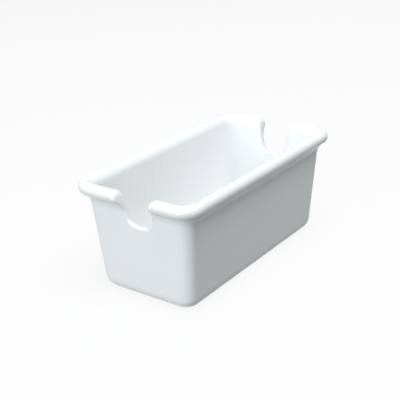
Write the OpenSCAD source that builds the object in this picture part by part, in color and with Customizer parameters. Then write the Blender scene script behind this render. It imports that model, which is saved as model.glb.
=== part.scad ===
// Sugar packet holder: one slip-cast porcelain tub with a rolled rim and a finger notch in each end.
// Lengths are in millimetres. X runs along the tub, Z is up, and the table is at Z = 0.

/* [Overall size] */
// Length over the rolled rim
rim_l = 127; // [114:1:140]
// Width over the rolled rim
rim_w = 67.5; // [60:0.5:90]
// Height from the table to the crest of the rim
body_h = 54; // [48:1:66]
// Corner radius of the rim, seen from above
rim_corner_r = 10.5; // [9.5:0.5:14]

/* [Walls and floor] */
// Thickness of the walls, square to their face
wall_t = 2.6; // [2:0.1:3.4]
// How far a wall leans in between the rim and the table
wall_lean_in = 3.5; // [2:0.1:5.6]
// Thickness of the floor
floor_t = 4.5; // [3.5:0.1:6]
// Radius of the inner edge round the floor
floor_edge_r = 3; // [1.5:0.1:6]
// Corner radius of the floor, seen from above
floor_corner_r = 6; // [3:0.5:10]
// Radius of the outer edge round the base
base_edge_r = 6.6; // [5:0.1:9]
// Angle at which the base edge meets the table
base_edge_angle = 20; // [15:1:30]

/* [Rolled rim] */
// How far the rim stands out from the wall under it
rim_over = 4.8; // [4:0.1:5.4]
// Radius of the roll at the rim's outer side
rim_roll_r = 3; // [2:0.1:3.4]
// Radius of the flare that carries the wall out into the roll
flare_r = 8; // [5:0.1:10]

/* [Finger notches] */
// Depth of each notch below the crest of the rim
notch_depth = 16.6; // [12:0.2:20]
// Width of each notch between its square bottom corners
notch_bottom_w = 11.6; // [10:0.2:14]
// Angle at which each side of a notch spreads
notch_spread_angle = 13; // [6:1:16]
// Radius of the bottom corners of a notch
notch_corner_r = 4.5; // [3:0.1:5.4]
// Radius of the shoulders, where a notch opens into the rim
notch_shoulder_r = 2.5; // [1.5:0.1:4.4]
// How far the hand-cut notch of the right end sits off the centre line
notch_right_shift = -1; // [-3:0.5:3]
// How far the hand-cut notch of the left end sits off the centre line
notch_left_shift = -2; // [-3:0.5:3]

/* [Foot] */
// Width of the dry ring on which the tub rests
foot_w = 3; // [2.4:0.1:4]
// Depth of the hollow inside that ring
foot_hollow = 1; // [0.6:0.1:1.6]
// Corner radius of the hollow
foot_corner_r = 3; // [2:0.1:5]

/* [Hidden] */

// How far a cut runs past the face that it opens
cut_over = 2;
// How far the rim reaches down inside the wall
rim_root = 2;
// Thickness of a slice of the walls
slice_t = 0.01;
// Steps along each round stretch of the section
arc_steps = 10;
// Sides of a full turn round a corner of the walls
slice_sides = 64;
// Sides of a full turn anywhere else
$fn = 96;

// The rim turns about upright axes at [+-axis_x, +-axis_y], and every section is drawn outward from them
axis_x = rim_l / 2 - rim_corner_r;
axis_y = rim_w / 2 - rim_corner_r;

// The wall leans in by a steady share of its height
rim_low_z = body_h - 2 * rim_roll_r;
lean = wall_lean_in / rim_low_z;
lean_angle = atan(lean);
// Outer face of the wall at height z
function outer_r(z) = rim_corner_r - rim_over - lean * (rim_low_z - z);
// Inner face of the wall at height z
function inner_r(z) = outer_r(z) - wall_t / cos(lean_angle);

// Points of an arc of radius r about c
function arc(c, r, from, to) = [
    for (i = [0 : arc_steps])
        let (t = from + (to - from) * i / arc_steps)
        c + r * [cos(t), sin(t)]
];
// A run of points without its first, where the run before it ends on that point
function after_first(points) = [for (i = [1 : len(points) - 1]) points[i]];

// The base edge touches the wall and meets the table at its set angle
base_mid_z = base_edge_r * cos(base_edge_angle);
base_mid = [outer_r(base_mid_z) - base_edge_r / cos(lean_angle), base_mid_z];
base_edge = arc(base_mid, base_edge_r, base_edge_angle - 90, -lean_angle);
foot_r = base_edge[0][0];

// The flare touches the wall on one side and the roll on the other, so its middle is one root of a square
roll_mid = [rim_corner_r - rim_roll_r, body_h - rim_roll_r];
flare_reach = rim_roll_r + flare_r;
flare_gap = outer_r(0) + flare_r / cos(lean_angle) - roll_mid[0];
root_b = flare_gap * lean - roll_mid[1];
root_c = pow(flare_gap, 2) + pow(roll_mid[1], 2) - pow(flare_reach, 2);
flare_mid_z = (-root_b - sqrt(pow(root_b, 2) - (1 + pow(lean, 2)) * root_c)) / (1 + pow(lean, 2));
flare_mid = [outer_r(flare_mid_z) + flare_r / cos(lean_angle), flare_mid_z];
flare_rise = atan2(roll_mid[1] - flare_mid[1], roll_mid[0] - flare_mid[0]);
flare = arc(flare_mid, flare_r, 180 - lean_angle, flare_rise);
roll_low = arc(roll_mid, rim_roll_r, flare_rise - 180, 0);
roll_top = arc(roll_mid, rim_roll_r, 0, 90);

// The inner side of the rim is the arc that touches the crest and the inner face
rim_inner_r = ((roll_mid[0] - outer_r(body_h)) * cos(lean_angle) + wall_t) / (1 - sin(lean_angle));
rim_inner = arc([roll_mid[0], body_h - rim_inner_r], rim_inner_r, 90, 180 - lean_angle);

// The inner edge of the floor
floor_mid_z = floor_t + floor_edge_r;
floor_mid = [inner_r(floor_mid_z) - floor_edge_r / cos(lean_angle), floor_mid_z];
floor_edge = arc(floor_mid, floor_edge_r, -90, -lean_angle);

// The rim starts where the flare leaves the wall, and holds on to the wall by a root inside it
seam_z = flare[0][1];
root_in = inner_r(seam_z) + wall_t / 3;
root_out = inner_r(seam_z) + wall_t * 2 / 3;
rim_section = concat(
    flare,
    after_first(roll_low),
    after_first(roll_top),
    after_first(rim_inner),
    [
        [inner_r(seam_z), seam_z],
        [root_in, seam_z],
        [root_in, seam_z - rim_root],
        [root_out, seam_z - rim_root],
        [root_out, seam_z]
    ]
);

// Rim along a straight stretch, l long, whose outer side faces +X
module straight_rim(l) {
    rotate([90, 0, 0])
        linear_extrude(l, center = true)
            polygon(rim_section);
}

// Four straight stretches and four corners
module rim() {
    for (turn = [0, 180]) {
        rotate(turn)
            translate([axis_x, 0, 0])
                straight_rim(2 * axis_y);
        rotate(turn + 90)
            translate([axis_y, 0, 0])
                straight_rim(2 * axis_x);
    }
    for (side_x = [0, 1], side_y = [0, 1])
        mirror([side_x, 0, 0])
            mirror([0, side_y, 0])
                translate([axis_x, axis_y, 0])
                    rotate_extrude(angle = 90)
                        polygon(rim_section);
}

// Slice of the walls, whose sides pass through a point of the section
module slice(point, corner_r) {
    for (side_x = [-1, 1], side_y = [-1, 1])
        translate([
            side_x * (axis_x + point[0] - corner_r),
            side_y * (axis_y + point[0] - corner_r),
            point[1]
        ])
            cylinder(h = slice_t, r = corner_r, $fn = slice_sides);
}

// Outer side of the walls, whose corners keep their radius from the rim down to the base
module wall_block() {
    corner_r = outer_r(seam_z);
    hull() {
        for (point = base_edge)
            slice(point, corner_r);
        slice([outer_r(seam_z), seam_z - slice_t], corner_r);
    }
}

// Room for the packets, whose corners soften from the rim down to the floor
module well() {
    well_top_z = seam_z + cut_over;
    hull() {
        for (point = floor_edge)
            slice(point, floor_corner_r);
        slice([inner_r(seam_z), seam_z], inner_r(seam_z));
        slice([inner_r(well_top_z), well_top_z], inner_r(well_top_z));
    }
}

// Walls and floor
module walls() {
    difference() {
        wall_block();
        well();
    }
}

// Outline of a notch, seen along X, with its crest line at body_h and its middle at 0
notch_low_z = body_h - notch_depth;
function notch_half_w(z) = notch_bottom_w / 2 + (z - notch_low_z) * tan(notch_spread_angle);
corner_mid = [
    notch_half_w(notch_low_z + notch_corner_r) - notch_corner_r / cos(notch_spread_angle),
    notch_low_z + notch_corner_r
];
shoulder_mid = [
    notch_half_w(body_h - notch_shoulder_r) + notch_shoulder_r / cos(notch_spread_angle),
    body_h - notch_shoulder_r
];
notch_half = concat(
    [[0, notch_low_z]],
    arc(corner_mid, notch_corner_r, -90, -notch_spread_angle),
    arc(shoulder_mid, notch_shoulder_r, 180 - notch_spread_angle, 90),
    [[shoulder_mid[0], body_h + cut_over], [0, body_h + cut_over]]
);

// Cut for a notch in the end that faces +X
module notch_cut(shift) {
    translate([axis_x, shift, 0])
        rotate([90, 0, 90])
            linear_extrude(rim_corner_r + cut_over)
                union() {
                    polygon(notch_half);
                    mirror([1, 0])
                        polygon(notch_half);
                }
}

// Hollow under the floor, which leaves the dry foot ring round it
module foot_hollow_cut() {
    hollow_x = axis_x + foot_r - foot_w;
    hollow_y = axis_y + foot_r - foot_w;
    translate([0, 0, -cut_over])
        linear_extrude(cut_over + foot_hollow)
            union() {
                square([2 * hollow_x, 2 * (hollow_y - foot_corner_r)], center = true);
                square([2 * (hollow_x - foot_corner_r), 2 * hollow_y], center = true);
                for (side_x = [-1, 1], side_y = [-1, 1])
                    translate([side_x * (hollow_x - foot_corner_r), side_y * (hollow_y - foot_corner_r)])
                        circle(foot_corner_r);
            }
}

// The glazed porcelain body
module holder_body() {
    color([0.93, 0.95, 0.96])
        difference() {
            union() {
                walls();
                rim();
            }
            notch_cut(notch_right_shift);
            mirror([1, 0, 0])
                notch_cut(notch_left_shift);
            foot_hollow_cut();
        }
}

holder_body();
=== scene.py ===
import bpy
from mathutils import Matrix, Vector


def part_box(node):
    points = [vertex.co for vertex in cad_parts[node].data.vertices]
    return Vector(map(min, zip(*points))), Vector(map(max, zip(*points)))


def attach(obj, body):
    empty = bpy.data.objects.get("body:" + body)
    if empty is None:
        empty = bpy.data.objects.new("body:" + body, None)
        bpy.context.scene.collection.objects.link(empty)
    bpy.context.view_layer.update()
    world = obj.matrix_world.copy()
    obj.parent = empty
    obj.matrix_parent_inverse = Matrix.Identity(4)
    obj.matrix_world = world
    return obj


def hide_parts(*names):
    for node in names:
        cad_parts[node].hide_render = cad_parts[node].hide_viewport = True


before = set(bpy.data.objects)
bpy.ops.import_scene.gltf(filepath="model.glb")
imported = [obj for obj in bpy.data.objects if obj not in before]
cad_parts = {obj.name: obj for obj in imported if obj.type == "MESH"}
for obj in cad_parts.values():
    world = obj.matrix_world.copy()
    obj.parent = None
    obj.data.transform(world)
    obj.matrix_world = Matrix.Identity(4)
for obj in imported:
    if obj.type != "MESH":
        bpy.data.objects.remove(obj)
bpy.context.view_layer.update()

# %% [markdown]
# # A porcelain sugar packet holder
#
# The real piece is one slip-cast tub. Liquid clay is poured into a plaster mould and leaves a wall under
# three millimetres thick, with a rolled rim that keeps its shape in the kiln. A finger notch is cut in each
# end while the clay is leather-hard, a wet sponge rounds the cut, and a clear glaze is melted over all but
# the foot.
#
# This lesson builds that tub in the same order: first its sizes and the view of it, then its shape as one
# rule, then its glaze, and last a plain photographer's table.
#
# ## Sizes
#
# The length, width and height come from the frame, so the tub fills the space that the construction gives
# it. The other sizes are what a potter would write on the mould drawing, turned into metres.

# %% The sizes on the mould drawing
import math

import bpy
from mathutils import Euler, Vector

NODE = "holder_body"
low_corner, high_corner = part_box(NODE)
MM = 0.001
SIZES = {
    "Rim Length": high_corner[0] - low_corner[0],
    "Rim Width": high_corner[1] - low_corner[1],
    "Height": high_corner[2] - low_corner[2],
    "Rim Corner Radius": 10.5 * MM,
    "Rim Overhang": 4.8 * MM,
    "Roll Radius": 3 * MM,
    "Flare Radius": 8 * MM,
    "Wall Thickness": 2.6 * MM,
    "Wall Lean In": 3.5 * MM,
    "Floor Thickness": 4.5 * MM,
    "Floor Edge Radius": 3 * MM,
    "Floor Corner Radius": 6 * MM,
    "Base Edge Radius": 6.6 * MM,
    "Base Edge Angle": math.radians(20),
    "Notch Depth": 16.6 * MM,
    "Notch Bottom Width": 11.6 * MM,
    "Notch Spread": math.radians(13),
    "Notch Corner Radius": 4.5 * MM,
    "Right Notch Shift": -1 * MM,
    "Left Notch Shift": -2 * MM,
    "Notch Shoulder Radius": 2.5 * MM,
    "Notch Lip Radius": 0.7 * MM,
    "Rim End Radius": 2.2 * MM,
    "Foot Ring Width": 3 * MM,
    "Foot Hollow Depth": 1 * MM,
    "Foot Corner Radius": 3 * MM,
    "Foot Arris": 0.5 * MM,
    "Clay Wobble": 0.12 * MM,
    "Skin Inset": 0.03 * MM,
}
for name, value in SIZES.items():
    print(f"{name}: {value:.4f}")

# %% [markdown]
# ## Camera
#
# The camera comes before the shape, because every later choice is judged through it. A product photographer
# stands a little above the rim and off one corner with a short telephoto lens, which keeps upright lines
# nearly parallel. The angles, the distance and the focal length below give nearly the same view of the rim
# and the base as the photograph.

# %% Set the camera
VIEW_TURN = math.radians(-53.494)
VIEW_RISE = math.radians(22.718)
VIEW_ROLL = math.radians(-2.184)
VIEW_DISTANCE = 0.41331
VIEW_TARGET = Vector((0.00098, 0.00845, 0.02725))
LENS = 74.53
SENSOR_WIDTH = 36
NEAR_CLIP = 0.01

turn = Euler((0, 0, VIEW_TURN)).to_matrix()
tilt = Euler((math.pi / 2 - VIEW_RISE, 0, 0)).to_matrix()
roll = Euler((0, 0, VIEW_ROLL)).to_matrix()
look = turn @ tilt @ roll

camera = bpy.data.objects.new("camera", bpy.data.cameras.new("camera"))
bpy.context.scene.collection.objects.link(camera)
camera.data.lens = LENS
camera.data.sensor_width = SENSOR_WIDTH
camera.data.clip_start = NEAR_CLIP
camera.location = VIEW_TARGET + look.col[2] * VIEW_DISTANCE
camera.rotation_euler = look.to_euler()
bpy.context.scene.camera = camera
print("camera stands at", tuple(round(c, 3) for c in camera.location))

# %% [markdown]
# ## Sums made of nodes
#
# The shape below is a rule: for any point it says how far the point lies from the skin of the clay, with a
# minus sign inside. Such a rule is a long sum, and a long sum is hard to read as a drawing of nodes. This
# small class lets the script write it as a sum, and still leaves ordinary Math nodes in the tree.

# %% A number that travels between nodes
class Wire:
    """A value on a node's socket. Adding or multiplying two of them adds a Math node."""

    def __init__(self, tree, socket):
        self.tree = tree
        self.socket = socket

    def __add__(self, other):
        return calc("ADD", self, other)

    def __sub__(self, other):
        return calc("SUBTRACT", self, other)

    def __rsub__(self, other):
        return calc("SUBTRACT", other, self)

    def __mul__(self, other):
        return calc("MULTIPLY", self, other)

    def __truediv__(self, other):
        return calc("DIVIDE", self, other)

    def __neg__(self):
        return calc("MULTIPLY", self, -1)


print("sums of wires become Math nodes")

# %% [markdown]
# Every node below is added in the same way. Its settings come first, because they decide which of its
# sockets are in use, and then its inputs are fed in order, each from a wire or with a plain value.

# %% Add nodes and feed them
def feed(tree, value, socket):
    """Links a wire to a socket, or writes a plain value there."""
    if isinstance(value, Wire):
        tree.links.new(value.socket, socket)
    else:
        socket.default_value = value


def add_node(tree, kind, *values, **settings):
    """A node with its settings, and its first inputs in use fed in order."""
    node = tree.nodes.new(kind)
    for name, setting in settings.items():
        setattr(node, name, setting)
    for socket, value in zip([s for s in node.inputs if s.enabled], values):
        feed(tree, value, socket)
    return node


def out_of(tree, node, name=0):
    """The wire from one of a node's outputs."""
    return Wire(tree, node.outputs[name])


def worked_out(tree, kind, *values, **settings):
    """The wire from the first output in use of a new node."""
    node = add_node(tree, kind, *values, **settings)
    return Wire(tree, next(s for s in node.outputs if s.enabled))


def calc(operation, *values):
    """A Math node on the given numbers, at least one of which is a wire."""
    tree = next(v.tree for v in values if isinstance(v, Wire))
    return worked_out(tree, "ShaderNodeMath", *values, operation=operation)


print("nodes are fed by wires and by plain values")

# %% [markdown]
# ## Two ways to join surfaces
#
# Clay has no sharp corners. `both` keeps what lies inside two surfaces and rounds the edge where they meet,
# as a sponge rounds a rim. `either` keeps what lies inside one or the other and fills the inner corner
# between them, as slip fills a mould. Two faces that don't meet squarely also give `both` their slant, the
# cosine of the angle between the ways they face, and the edge is a true arc again.

# %% Rounded edges and filled corners
def both(a, b, radius, slant=0):
    """Inside a and inside b, with the edge between them rounded."""
    u = a + radius
    v = b + radius
    flat = calc("MAXIMUM", u, v)
    squares = u * u + v * v - u * v * slant * 2
    arc = calc("SQRT", squares / (1 - slant * slant))
    at_edge = calc("GREATER_THAN", u, v * slant) * calc("GREATER_THAN", v, u * slant)
    return flat + at_edge * (arc - flat) - radius


def either(a, b, radius):
    """Inside a or inside b, with the corner between them filled."""
    u = calc("MAXIMUM", radius - a, 0)
    v = calc("MAXIMUM", radius - b, 0)
    return calc("MAXIMUM", calc("MINIMUM", a, b), radius) - calc("SQRT", u * u + v * v)


print("edges are rounded and corners filled by radius")

# %% [markdown]
# Each part of the rule is a node group of its own, with the sizes that it needs as named inputs. Three
# helpers open a group, close it and place it in another tree, where each input takes the wire of the same
# name.

# %% Groups with named inputs
def new_group(name, numbers, points=(), output="Distance", gives="Float", kind="GeometryNodeTree"):
    """An empty node group. Returns it, and its inputs as wires by name."""
    tree = bpy.data.node_groups.new(name, kind)
    tree.interface.new_socket(output, in_out="OUTPUT", socket_type=f"NodeSocket{gives}")
    for label in points:
        tree.interface.new_socket(label, in_out="INPUT", socket_type="NodeSocketVector")
    for label in numbers:
        socket = tree.interface.new_socket(label, in_out="INPUT", socket_type="NodeSocketFloat")
        socket.default_value = SIZES.get(label, 0)
    source = add_node(tree, "NodeGroupInput")
    return tree, {s.name: Wire(tree, s) for s in source.outputs if s.name}


def close_group(tree, result):
    """Hands a group's result to its output."""
    sink = add_node(tree, "NodeGroupOutput")
    feed(tree, result, sink.inputs[0])
    print(f"{tree.name}: {len(tree.nodes)} nodes")
    return tree


def use_group(tree, group, wires):
    """Places a group in a tree and feeds each input from the wire or value of the same name."""
    node = add_node(tree, tree.bl_idname.replace("Tree", "Group"), node_tree=group)
    for socket in node.inputs:
        if socket.name in wires:
            feed(tree, wires[socket.name], socket)
    return out_of(tree, node)


# %% [markdown]
# ## The plan
#
# Seen from above, the rim, the walls and the base are rounded oblongs, drawn round four corner axes. So one
# number places a point in the plan: its distance out from the oblong that joins those axes. The axes lean in
# with the walls, and more at the base edge, so a corner is as sharp at the table as it is under the rim.

# %% The distance out from the corner axes
def plan_group():
    tree, w = new_group("Plan", ["X", "Y", "Half Length", "Half Width"])
    past_x = calc("ABSOLUTE", w["X"]) - w["Half Length"]
    past_y = calc("ABSOLUTE", w["Y"]) - w["Half Width"]
    u = calc("MAXIMUM", past_x, 0)
    v = calc("MAXIMUM", past_y, 0)
    inside = calc("MINIMUM", calc("MAXIMUM", past_x, past_y), 0)
    return close_group(tree, calc("SQRT", u * u + v * v) + inside)


def out_from(tree, w, lean_in):
    """The distance out, as a face sees it whose corner axes stand further in at this height."""
    axes = {**w, "Half Length": w["Half Length"] - lean_in, "Half Width": w["Half Width"] - lean_in}
    return use_group(tree, plan, axes) - lean_in


plan = plan_group()

# %% [markdown]
# ## The wall's section
#
# A template scraped along the mould would have this outline: a base edge, a leaning wall, a flare, a roll,
# and inside the roll a softer arc that runs down into the well. In the tree it is a handful of flat faces,
# joined by `both` with the radii of the drawing. Only the flare needs more. Its arc touches the leaning wall
# on one side and the roll on the other, so its middle is a root of a quadratic, and the arc counts between
# the two lines that run from its middle to the points where it touches.

# %% The flare under the rim
def wall_lines(w):
    """The height where the roll starts, the wall's slope, and the face it would have at that height."""
    roll_low = w["Height"] - w["Roll Radius"] * 2
    return roll_low, w["Wall Lean In"] / roll_low, w["Rim Corner Radius"] - w["Rim Overhang"]


def flared(w, wall, bar):
    """The wall and the roll, with the arc of the flare between them."""
    roll_low, lean, wall_face = wall_lines(w)
    flare = w["Flare Radius"]
    foot_face = wall_face - lean * roll_low + flare / calc("COSINE", calc("ARCTANGENT", lean))
    roll_out = w["Rim Corner Radius"] - w["Roll Radius"]
    roll_up = w["Height"] - w["Roll Radius"]
    reach = flare + w["Roll Radius"]
    gap = foot_face - roll_out
    square = lean * lean + 1
    half_root = gap * lean - roll_up
    rest = gap * gap + roll_up * roll_up - reach * reach
    middle_z = (-half_root - calc("SQRT", half_root * half_root - square * rest)) / square
    middle_out = foot_face + lean * middle_z

    u = w["Out"] - middle_out
    v = w["Z"] - middle_z
    above_wall = calc("GREATER_THAN", u * lean + v, 0)
    under_roll = calc("GREATER_THAN", v * (roll_out - middle_out), u * (roll_up - middle_z))
    plain = calc("MINIMUM", wall, bar)
    return plain + above_wall * under_roll * (flare - calc("SQRT", u * u + v * v) - plain)


print("the flare is one arc between the wall and the roll")

# %% The section as a rule
SECTION_SIZES = [
    "Height",
    "Rim Corner Radius",
    "Rim Overhang",
    "Roll Radius",
    "Flare Radius",
    "Wall Thickness",
    "Wall Lean In",
    "Floor Thickness",
    "Floor Edge Radius",
    "Base Edge Radius",
    "Base Edge Angle",
    "Foot Arris",
]


def section_group():
    tree, w = new_group("Wall Section", ["Out", "Well Out", "Z"] + SECTION_SIZES)
    z = w["Z"]
    top = w["Height"]
    roll_low, lean, wall_face = wall_lines(w)
    angle = calc("ARCTANGENT", lean)
    straight = calc("COSINE", angle)
    slant = calc("SINE", angle)
    wall = (w["Out"] - wall_face + lean * (roll_low - z)) * straight
    inner = (w["Well Out"] - wall_face + lean * (roll_low - z)) * straight + w["Wall Thickness"]

    bar = both(w["Out"] - w["Rim Corner Radius"], roll_low - z, w["Roll Radius"])
    bar = both(bar, z - top, w["Roll Radius"])
    outer = calc("MAXIMUM", flared(w, wall, bar), z - top)
    sink = w["Base Edge Radius"] * (1 - calc("COSINE", w["Base Edge Angle"]))
    outer = both(outer, -z - sink, w["Base Edge Radius"], slant)
    outer = both(outer, -z, w["Foot Arris"])

    crest = w["Rim Overhang"] - w["Roll Radius"] - lean * (top - roll_low)
    rim_inner = (crest * straight + w["Wall Thickness"]) / (1 - slant)
    well = both(inner, w["Floor Thickness"] - z, w["Floor Edge Radius"], slant)
    return close_group(tree, calc("MAXIMUM", outer, both(-well, z - top, rim_inner, slant)))


section = section_group()

# %% [markdown]
# ## The finger notches
#
# The notches are cut by hand with a template, so both have the same outline, but each sits a little off the
# middle. The rule gives the outline of the cut, and the sign of X picks the end.

# %% The notch as a rule
NOTCH_SIZES = [
    "Height",
    "Notch Depth",
    "Notch Bottom Width",
    "Notch Spread",
    "Notch Corner Radius",
    "Right Notch Shift",
    "Left Notch Shift",
]


def notch_group():
    tree, w = new_group("Finger Notch", ["X", "Y", "Z"] + NOTCH_SIZES)
    to_left = w["Left Notch Shift"] - w["Right Notch Shift"]
    shift = w["Right Notch Shift"] + calc("LESS_THAN", w["X"], 0) * to_left
    across = calc("ABSOLUTE", w["Y"] - shift)
    bottom = w["Height"] - w["Notch Depth"]
    half = w["Notch Bottom Width"] * 0.5 + (w["Z"] - bottom) * calc("TANGENT", w["Notch Spread"])
    side = (across - half) * calc("COSINE", w["Notch Spread"])
    slant = calc("SINE", w["Notch Spread"])
    return close_group(tree, both(side, bottom - w["Z"], w["Notch Corner Radius"], slant))


notch = notch_group()

# %% [markdown]
# ## The hollow of the foot
#
# A tub that rested on its whole underside would rock on any bump, so the mould leaves a shallow hollow
# there. The ring round it is the only part that touches the table, and the only part that is wiped free of
# glaze.

# %% The hollow as a rule
FOOT_SIZES = SECTION_SIZES + ["Foot Ring Width", "Foot Hollow Depth", "Foot Corner Radius"]


def foot_line(w):
    """How far outside the corner axes the base edge meets the table."""
    roll_low, lean, wall_face = wall_lines(w)
    middle_z = w["Base Edge Radius"] * calc("COSINE", w["Base Edge Angle"])
    middle = wall_face - lean * (roll_low - middle_z)
    back = w["Base Edge Radius"] / calc("COSINE", calc("ARCTANGENT", lean))
    return middle - back + w["Base Edge Radius"] * calc("SINE", w["Base Edge Angle"])


def hollow_group():
    places = ["X", "Y", "Z", "Half Length", "Half Width"]
    tree, w = new_group("Foot Hollow", places + FOOT_SIZES)
    reach = foot_line(w) - w["Foot Ring Width"] - w["Foot Corner Radius"]
    oblong = {**w, "Half Length": w["Half Length"] + reach, "Half Width": w["Half Width"] + reach}
    beside = use_group(tree, plan, oblong) - w["Foot Corner Radius"]
    return close_group(tree, both(beside, w["Z"] - w["Foot Hollow Depth"], w["Foot Arris"]))


hollow = hollow_group()

# %% [markdown]
# ## The whole tub
#
# The tub is what lies inside the section, outside the notches and outside the hollow of the foot. The sponge
# rounds the edge of a notch a little on the thin wall and more on the heavy rim. Slip gathers in the corners
# of a mould, so the corners of the well grow rounder towards the floor. A slow noise stands for the uneven
# shrinkage of the clay: it only ever takes clay away, and fades out at the foot, which is ground flat.

# %% Smooth steps and slow noise
WOBBLE_SCALE = 26
WOBBLE_DETAIL = 1
FOOT_ZONE = 6 * MM


def ease(value, start, end, start_value=0, end_value=1):
    """A smooth step from one value to another."""
    limits = (value, start, end, start_value, end_value)
    return worked_out(value.tree, "ShaderNodeMapRange", *limits, interpolation_type="SMOOTHSTEP")


def noise_at(point, scale, detail):
    """A smooth random value between 0 and 1."""
    node = add_node(point.tree, "ShaderNodeTexNoise")
    for name, value in (("Vector", point), ("Scale", scale), ("Detail", detail)):
        feed(point.tree, value, node.inputs[name])
    return out_of(point.tree, node)


def wobble_of(w):
    """The depth of the dents that shrinkage leaves."""
    return noise_at(w["Point"], WOBBLE_SCALE, WOBBLE_DETAIL) * w["Clay Wobble"] * ease(w["Z"], 0, FOOT_ZONE)


print("dents about", round(1 / WOBBLE_SCALE, 3), "m apart")

# %% [markdown]
# Both faces of the wall lean in, and their corner axes go with them. At the base edge the outer face turns
# in along an arc. That arc is followed only to a little under the table, because further down its slope
# grows without end.

# %% How far the corner axes lean
# The lowest point of the base edge that is followed, under the edge's middle, as a share of its radius
EDGE_FOLLOWED = 0.95


def corner_leans(w):
    """How far in the corner axes of the outer face and of the well stand at a height."""
    roll_low, lean, wall_face = wall_lines(w)
    under_roll = calc("MAXIMUM", roll_low - w["Z"], 0)
    base = w["Base Edge Radius"]
    under_edge = calc("MAXIMUM", base * calc("COSINE", w["Base Edge Angle"]) - w["Z"], 0)
    under_edge = calc("MINIMUM", under_edge, base * EDGE_FOLLOWED)
    sag = base - calc("SQRT", base * base - under_edge * under_edge)
    softer = w["Floor Corner Radius"] - wall_face + w["Wall Thickness"]
    return lean * under_roll + sag, (lean + softer / (roll_low - w["Floor Thickness"])) * under_roll


print("the base edge is followed down to", EDGE_FOLLOWED, "of its radius")

# %% The distance to the clay's skin
RIM_ZONE = 9 * MM
EVERY_SIZE = list(SIZES)


def tub_group():
    tree, w = new_group("Tub Distance", EVERY_SIZE, points=["Point"])
    split = add_node(tree, "ShaderNodeSeparateXYZ", w["Point"])
    for name, socket in zip("XYZ", split.outputs):
        w[name] = Wire(tree, socket)
    w["Half Length"] = w["Rim Length"] * 0.5 - w["Rim Corner Radius"]
    w["Half Width"] = w["Rim Width"] * 0.5 - w["Rim Corner Radius"]
    outer_lean, well_lean = corner_leans(w)
    w["Out"] = out_from(tree, w, outer_lean)
    w["Well Out"] = out_from(tree, w, well_lean)

    z = w["Z"]
    top = w["Height"]
    shoulder = w["Notch Shoulder Radius"]
    beside = use_group(tree, notch, w)
    opening = either(beside, top - z, shoulder)
    lip = ease(z, top - RIM_ZONE, top, w["Notch Lip Radius"], w["Rim End Radius"])
    clay = both(use_group(tree, section, w), -opening, lip * ease(beside, shoulder, 0))
    clay = both(clay, -use_group(tree, hollow, w), w["Foot Arris"])
    return close_group(tree, clay + wobble_of(w) + w["Skin Inset"])


tub = tub_group()

# %% [markdown]
# ## From the rule to a skin
#
# A volume samples the rule on a fine lattice, and a mesh is drawn where the distance passes through zero.
# That mesh still shows the steps of the lattice, which a glossy glaze would betray. So the tree repeats two
# moves: it relaxes the points among their neighbours, and then drops each one back onto the skin along the
# steepest way. A few rounds leave even faces whose points lie on the true shape.

# %% The drop onto the skin
PROBE = 0.02 * MM


def vector_math(tree, operation, *values):
    """A Vector Math node on the given values. The last one may be the scale."""
    return worked_out(tree, "ShaderNodeVectorMath", *values, operation=operation)


def position(tree):
    """Where a point is now."""
    return worked_out(tree, "GeometryNodeInputPosition")


def drop_group():
    """The move that takes a point straight to where the distance is zero."""
    tree, w = new_group("Drop To Skin", EVERY_SIZE, output="Move", gives="Vector")
    here = position(tree)
    distance = use_group(tree, tub, {**w, "Point": here})
    rises = []
    for step in ((PROBE, 0, 0), (0, PROBE, 0), (0, 0, PROBE)):
        there = vector_math(tree, "ADD", here, step)
        ahead = use_group(tree, tub, {**w, "Point": there})
        rises.append((ahead - distance) / PROBE)
    slope = worked_out(tree, "ShaderNodeCombineXYZ", *rises)
    steepness = vector_math(tree, "DOT_PRODUCT", slope, slope)
    return close_group(tree, vector_math(tree, "SCALE", slope, -distance / steepness))


drop = drop_group()

# %% [markdown]
# The rough skin comes from the lattice, whose step sets how fine the final mesh is. It reaches a little past
# the tub on every side, so that the skin is closed.

# %% The rough skin
LATTICE_STEP = 0.78 * MM
MARGIN = 2 * MM


def lattice_mesh(tree, w):
    """The rough skin, drawn between the points of a lattice."""
    density = -use_group(tree, tub, {**w, "Point": position(tree)})
    half_x = w["Rim Length"] * 0.5 + MARGIN
    half_y = w["Rim Width"] * 0.5 + MARGIN
    roof = w["Height"] + MARGIN
    low = worked_out(tree, "ShaderNodeCombineXYZ", -half_x, -half_y, -MARGIN)
    high = worked_out(tree, "ShaderNodeCombineXYZ", half_x, half_y, roof)
    counts = [half_x * 2 / LATTICE_STEP, half_y * 2 / LATTICE_STEP, (roof + MARGIN) / LATTICE_STEP]
    cube = worked_out(tree, "GeometryNodeVolumeCube", density, -MARGIN, low, high, *counts)
    mesh = add_node(tree, "GeometryNodeVolumeToMesh", cube, resolution_mode="GRID")
    mesh.inputs["Threshold"].default_value = 0
    return out_of(tree, mesh)


print("lattice step:", LATTICE_STEP)

# %% [markdown]
# Relaxing moves a point to the average place of its neighbours, and the drop brings it back to the skin. A
# repeat zone does both a few times over.

# %% The even skin
RELAX_ROUNDS = 8


def blurred(tree, rounds):
    """The average place of a point and its neighbours."""
    node = add_node(tree, "GeometryNodeBlurAttribute", position(tree), data_type="FLOAT_VECTOR")
    node.inputs["Iterations"].default_value = rounds
    return out_of(tree, node)


def moved(tree, mesh, to=None, by=None):
    """The mesh with its points put somewhere, or moved by some way."""
    node = add_node(tree, "GeometryNodeSetPosition", mesh)
    if to is not None:
        feed(tree, to, node.inputs["Position"])
    if by is not None:
        feed(tree, by, node.inputs["Offset"])
    return out_of(tree, node)


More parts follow.
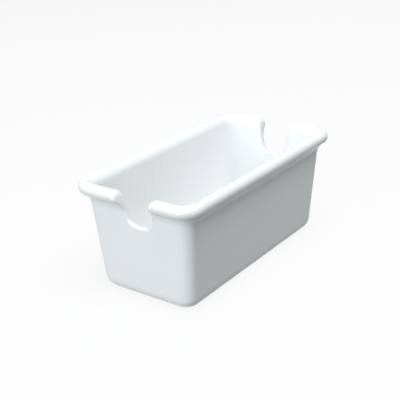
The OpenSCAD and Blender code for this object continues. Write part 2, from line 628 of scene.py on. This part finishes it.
def relaxed(tree, mesh, w):
    """The skin after a few rounds of relaxing and dropping back."""
    start = add_node(tree, "GeometryNodeRepeatInput")
    end = add_node(tree, "GeometryNodeRepeatOutput")
    start.pair_with_output(end)
    start.inputs["Iterations"].default_value = RELAX_ROUNDS
    feed(tree, mesh, start.inputs["Geometry"])
    loose = moved(tree, out_of(tree, start, "Geometry"), to=blurred(tree, 1))
    tight = moved(tree, loose, by=use_group(tree, drop, w))
    feed(tree, tight, end.inputs["Geometry"])
    return out_of(tree, end, "Geometry")


print("rounds of relaxing:", RELAX_ROUNDS)

# %% [markdown]
# The tree also leaves a mark on every point for the glaze to read: how far the average of the points around
# it stands out from it. Melted glaze runs thin on an edge and gathers in a corner, so this one number says
# where it does which, and on an edge it also sets painted shade that greys the brightly lit rim.

# %% The tree that casts the tub
POOL_REACH = 14
POOL_DEPTH = 0.35 * MM
GLAZE_MARK = "glaze_depth_and_edge_shade"


def glaze_depth_and_edge_shade_mark(tree):
    """How proud or how sunken a point is: 0 on an edge, 1 in a corner, a half on a flat."""
    bend = vector_math(tree, "SUBTRACT", blurred(tree, POOL_REACH), position(tree))
    facing = worked_out(tree, "GeometryNodeInputNormal")
    return vector_math(tree, "DOT_PRODUCT", bend, facing) / (2 * POOL_DEPTH) + 0.5


def cast_group(glaze):
    """The whole tree, from the sizes to a skin that carries its mark and its glaze."""
    tree, w = new_group("Cast Tub", EVERY_SIZE, output="Tub", gives="Geometry")
    skin = relaxed(tree, lattice_mesh(tree, w), w)
    skin = moved(tree, skin, by=use_group(tree, drop, w))
    skin = worked_out(tree, "GeometryNodeSetShadeSmooth", skin)
    mark = add_node(tree, "GeometryNodeStoreNamedAttribute", skin, data_type="FLOAT", domain="POINT")
    mark.inputs["Name"].default_value = GLAZE_MARK
    feed(tree, glaze_depth_and_edge_shade_mark(tree), mark.inputs["Value"])
    whole = worked_out(tree, "GeometryNodeRealizeInstances", out_of(tree, mark))
    finish = add_node(tree, "GeometryNodeSetMaterial", whole)
    finish.inputs["Material"].default_value = glaze
    return close_group(tree, out_of(tree, finish))


print("mark for the glaze:", GLAZE_MARK)

# %% [markdown]
# ## The glaze
#
# White porcelain under a clear glaze isn't one flat white. Where the glaze runs thin on an edge the white is
# a shade greyer, partly from the thin glaze and partly as painted shade that holds the brightly lit rim
# down, and where it gathers in a corner it is deeper and cooler. Its gloss is broken by a very shallow
# ripple, and the ring that rests on the kiln shelf is wiped bare, so it stays matt and creamy.
#
# These effects are node groups that give only colours, masks and heights. The shader itself stays in the
# material, where a value that holds everywhere is typed on its own socket.

# %% The tone of the glaze
WHITE_GLAZE = (0.921, 0.931, 0.935, 1)
# Painted shade: the edge colour is greyer partly for the thin glaze and partly to hold the brightly lit rim
# down.
THIN_GLAZE_AND_EDGE_SHADE = (0.900, 0.910, 0.915, 1)
DEEP_GLAZE = (0.880, 0.915, 0.925, 1)
TONE_DRIFT = 0.175
DRIFT_DETAIL = 2
# Marks between which the glaze passes from white to thin with painted edge shade, and from white to deep
THIN_AND_EDGE_SHADE_MARKS = (0.42, 0.05)
DEEP_MARKS = (0.58, 0.95)


def mixed(tree, factor, a, b):
    """A colour between two colours."""
    return worked_out(tree, "ShaderNodeMix", factor, a, b, data_type="RGBA")


def glaze_tone_group():
    """The glaze's colour from its depth, greyed by painted shade on edges, with a slow drift from place to
    place.
    """
    tree, w = new_group(
        "Glaze Tone",
        ["Glaze Depth And Edge Shade", "Drift Scale"],
        points=["Point"],
        output="Colour",
        gives="Color",
        kind="ShaderNodeTree",
    )
    drift = noise_at(w["Point"], w["Drift Scale"], DRIFT_DETAIL) - 0.5
    depth = w["Glaze Depth And Edge Shade"] + drift * TONE_DRIFT
    cool = mixed(tree, ease(depth, *DEEP_MARKS), WHITE_GLAZE, DEEP_GLAZE)
    # Painted shade on edges: the low end of the mark greys the glaze there, beside the real thin glaze.
    return close_group(tree, mixed(tree, ease(depth, *THIN_AND_EDGE_SHADE_MARKS), cool, THIN_GLAZE_AND_EDGE_SHADE))


glaze_tone = glaze_tone_group()

# %% [markdown]
# The ripple adds a fine noise to a wide one. The glaze line wanders a little round the foot, because it is
# wiped by hand.

# %% The ripple and the bare ring
WIDE_DETAIL = 1
FINE_DETAIL = 2
FINE_SHARE = 0.25
WANDER_DETAIL = 2
LINE_BLUR = 0.1 * MM


def ripple_group():
    """The height of the shallow ripple that melted glaze keeps."""
    tree, w = new_group(
        "Glaze Ripple",
        ["Wide Scale", "Fine Scale"],
        points=["Point"],
        output="Height",
        kind="ShaderNodeTree",
    )
    wide = noise_at(w["Point"], w["Wide Scale"], WIDE_DETAIL)
    fine = noise_at(w["Point"], w["Fine Scale"], FINE_DETAIL)
    return close_group(tree, wide + fine * FINE_SHARE)


def foot_mask_group():
    """1 on the bare ring that stands on the table, 0 above the glaze line."""
    tree, w = new_group(
        "Bare Foot",
        ["Line Height", "Wander", "Wander Scale"],
        points=["Point"],
        output="Mask",
        kind="ShaderNodeTree",
    )
    z = out_of(tree, add_node(tree, "ShaderNodeSeparateXYZ", w["Point"]), "Z")
    line = w["Line Height"] + (noise_at(w["Point"], w["Wander Scale"], WANDER_DETAIL) - 0.5) * w["Wander"]
    return close_group(tree, ease(z - line, LINE_BLUR, -LINE_BLUR))


glaze_ripple = ripple_group()
bare_foot = foot_mask_group()

# %% [markdown]
# The material gathers the three groups. Glaze is glass, so it is a smooth coat of gloss over a white body,
# and the groups only say what changes: the tone, the ripple and the bare ring.

# %% The porcelain material
BARE_CLAY = (0.760, 0.715, 0.650, 1)
GLAZE_ROUGHNESS = 0.08
CLAY_ROUGHNESS = 0.75
GLAZE_IOR = 1.5
RIPPLE_DEPTH = 0.02 * MM
FINISH_SIZES = {
    "Drift Scale": 30,
    "Wide Scale": 90,
    "Fine Scale": 420,
    "Line Height": 0.3 * MM,
    "Wander": 0.3 * MM,
    "Wander Scale": 160,
}


def porcelain():
    material = bpy.data.materials.new("porcelain_glaze")
    material.use_nodes = True
    tree = material.node_tree
    shader = tree.nodes["Principled BSDF"]
    point = out_of(tree, add_node(tree, "ShaderNodeTexCoord"), "Object")
    # The mark read here carries the glaze depth and the painted shade on edges.
    glaze_depth_and_edge_shade = out_of(tree, add_node(tree, "ShaderNodeAttribute", attribute_name=GLAZE_MARK), "Fac")
    wires = {**FINISH_SIZES, "Point": point, "Glaze Depth And Edge Shade": glaze_depth_and_edge_shade}

    bare = use_group(tree, bare_foot, wires)
    colour = mixed(tree, bare, use_group(tree, glaze_tone, wires), BARE_CLAY)
    feed(tree, colour, shader.inputs["Base Color"])
    gloss = bare * (CLAY_ROUGHNESS - GLAZE_ROUGHNESS) + GLAZE_ROUGHNESS
    feed(tree, gloss, shader.inputs["Roughness"])
    shader.inputs["IOR"].default_value = GLAZE_IOR

    bump = add_node(tree, "ShaderNodeBump")
    bump.inputs["Distance"].default_value = RIPPLE_DEPTH
    feed(tree, use_group(tree, glaze_ripple, wires), bump.inputs["Height"])
    feed(tree, out_of(tree, bump), shader.inputs["Normal"])
    return material


glaze = porcelain()
print("material:", glaze.name)

# %% [markdown]
# ## Casting
#
# The modifier takes each size by its socket's identifier before the tree first runs. Its result becomes a
# plain mesh, and the modifier goes, so that the piece no longer depends on the tree.

# %% Cast the tub
cast = cast_group(glaze)
tub_object = bpy.data.objects.new("porcelain_tub", bpy.data.meshes.new("porcelain_tub"))
bpy.context.scene.collection.objects.link(tub_object)
modifier = tub_object.modifiers.new("cast", "NODES")
modifier.node_group = cast
for item in cast.interface.items_tree:
    if item.name in SIZES:
        modifier[item.identifier] = SIZES[item.name]

view = bpy.context.evaluated_depsgraph_get()
mesh = bpy.data.meshes.new_from_object(tub_object.evaluated_get(view))
tub_object.modifiers.clear()
tub_object.data = mesh
mesh.name = "porcelain_tub"
print("tub:", len(mesh.vertices), "points,", len(mesh.polygons), "faces")

# %% [markdown]
# ## The table
#
# A plain pale table is usual for tableware. This one throws little light back, which keeps the walls from
# washing out. It looks near white to the camera because it glows for the rays that are seen, and on that
# glow the tub's shadow stays, though it is faint. The room does the same: it is white where it is seen, and
# gives the tub only a dim light with a trace of blue-green.

# %% Table and surroundings
WHITE = (1, 1, 1, 1)
TABLE_SIZE = 4
TABLE_GREY = 0.1
TABLE_ROUGHNESS = 0.9
TABLE_GLOW = 0.875
SEEN_WHITE = 0.97
ROOM_GREY = 0.24
ROOM_TINT = (0.88, 1, 0.99, 1)


def seen_rays(tree):
    """1 for rays that the camera sees, straight, in a gloss or through glass, and 0 for all others."""
    path = add_node(tree, "ShaderNodeLightPath")
    kinds = ("Is Camera Ray", "Is Glossy Ray", "Is Transmission Ray")
    straight, gloss, through = (out_of(tree, path, kind) for kind in kinds)
    return calc("MAXIMUM", calc("MAXIMUM", straight, gloss), through)


def table():
    mesh = bpy.data.meshes.new("table")
    half = TABLE_SIZE / 2
    corners = [(-half, -half, 0), (half, -half, 0), (half, half, 0), (-half, half, 0)]
    mesh.from_pydata(corners, [], [(0, 1, 2, 3)])
    top = bpy.data.objects.new("table", mesh)
    bpy.context.scene.collection.objects.link(top)
    material = bpy.data.materials.new("pale_table")
    material.use_nodes = True
    tree = material.node_tree
    shader = tree.nodes["Principled BSDF"]
    shader.inputs["Base Color"].default_value = (TABLE_GREY, TABLE_GREY, TABLE_GREY, 1)
    shader.inputs["Roughness"].default_value = TABLE_ROUGHNESS
    shader.inputs["Specular IOR Level"].default_value = 0
    shader.inputs["Emission Color"].default_value = WHITE
    feed(tree, seen_rays(tree) * TABLE_GLOW, shader.inputs["Emission Strength"])
    mesh.materials.append(material)
    return top


def surroundings():
    world = bpy.data.worlds.new("room")
    world.use_nodes = True
    tree = world.node_tree
    sky = tree.nodes["Background"]
    seen = seen_rays(tree)
    feed(tree, mixed(tree, seen, ROOM_TINT, WHITE), sky.inputs["Color"])
    feed(tree, seen * (SEEN_WHITE - ROOM_GREY) + ROOM_GREY, sky.inputs["Strength"])
    bpy.context.scene.world = world


floor = table()
surroundings()
print("table side:", TABLE_SIZE)

# %% [markdown]
# ## The lamps
#
# A wide soft lamp overhead makes the rim and the well bright, while the long wall, which leans in under the
# rim, gets only a grazing light. A second soft lamp stands to the left, so the two visible walls differ.

# %% Set the lamps
LAMPS = {
    "overhead": {"place": (0, -0.28, 1.08), "size": (0.9, 0.9), "power": 10.8, "tint": (1, 1, 1)},
    "window": {"place": (-1.1, 0, 0.28), "size": (1, 0.5), "power": 9, "tint": (0.93, 0.975, 1)},
}
middle = Vector((0, 0, SIZES["Height"] / 2))


def soft_lamp(name, place, size, power, tint):
    """A wide, soft lamp that shines at the middle of the tub."""
    data = bpy.data.lights.new(name, "AREA")
    data.shape = "RECTANGLE"
    data.size, data.size_y = size
    data.energy = power
    data.color = tint
    lamp = bpy.data.objects.new(name, data)
    bpy.context.scene.collection.objects.link(lamp)
    lamp.location = place
    lamp.rotation_euler = (Vector(place) - middle).to_track_quat("Z", "Y").to_euler()


for name, lamp in LAMPS.items():
    soft_lamp(name, **lamp)
bpy.context.scene.view_settings.view_transform = "Standard"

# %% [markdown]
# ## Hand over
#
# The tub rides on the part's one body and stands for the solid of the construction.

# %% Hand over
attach(tub_object, "root")
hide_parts(NODE)
